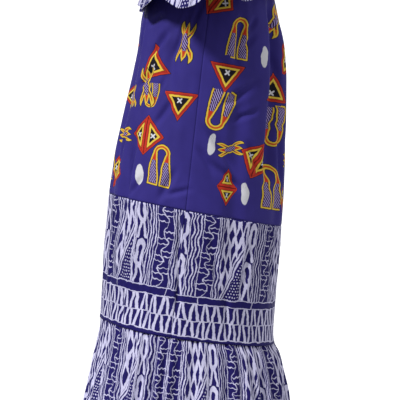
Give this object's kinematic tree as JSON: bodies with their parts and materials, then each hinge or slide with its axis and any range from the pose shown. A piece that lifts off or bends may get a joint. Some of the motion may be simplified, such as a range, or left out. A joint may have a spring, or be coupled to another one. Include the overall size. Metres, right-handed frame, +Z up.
{
  "type": "off-shoulder dress",
  "caption": "Long loose off-shoulder dress in its worn form, with a ruffle at the neckline, short sleeves, a straight skirt panel and a gathered flounce",
  "frame": {"origin": "middle of the elastic neckline, level with the casing's upper edge at the sides, where the upper arms hold the dress", "axes": "+Z up along the hanging dress, -Y towards the front, +X towards the wearer's left side"},
  "size_m": [0.6288, 0.5316, 1.2382],
  "materials": {
    "blue_printed_cotton": "plain-woven cotton, blue ground with red, yellow, black and white printed motifs, soft satin finish",
    "indigo_resist_cotton": "plain-woven cotton, white resist-dyed pattern on an indigo ground, matt",
    "neck_casing_cotton": "turned cotton casing gathered on a flat elastic"
  },
  "bodies": {
    "root": {"front_body": "blue_printed_cotton", "back_body": "blue_printed_cotton", "left_sleeve": "blue_printed_cotton", "right_sleeve": "blue_printed_cotton", "front_ruffle": "indigo_resist_cotton", "back_ruffle": "indigo_resist_cotton", "front_skirt_panel": "indigo_resist_cotton", "back_skirt_panel": "indigo_resist_cotton", "front_flounce": "indigo_resist_cotton", "back_flounce": "indigo_resist_cotton", "neck_casing": "neck_casing_cotton"}
  },
  "joints": []
}
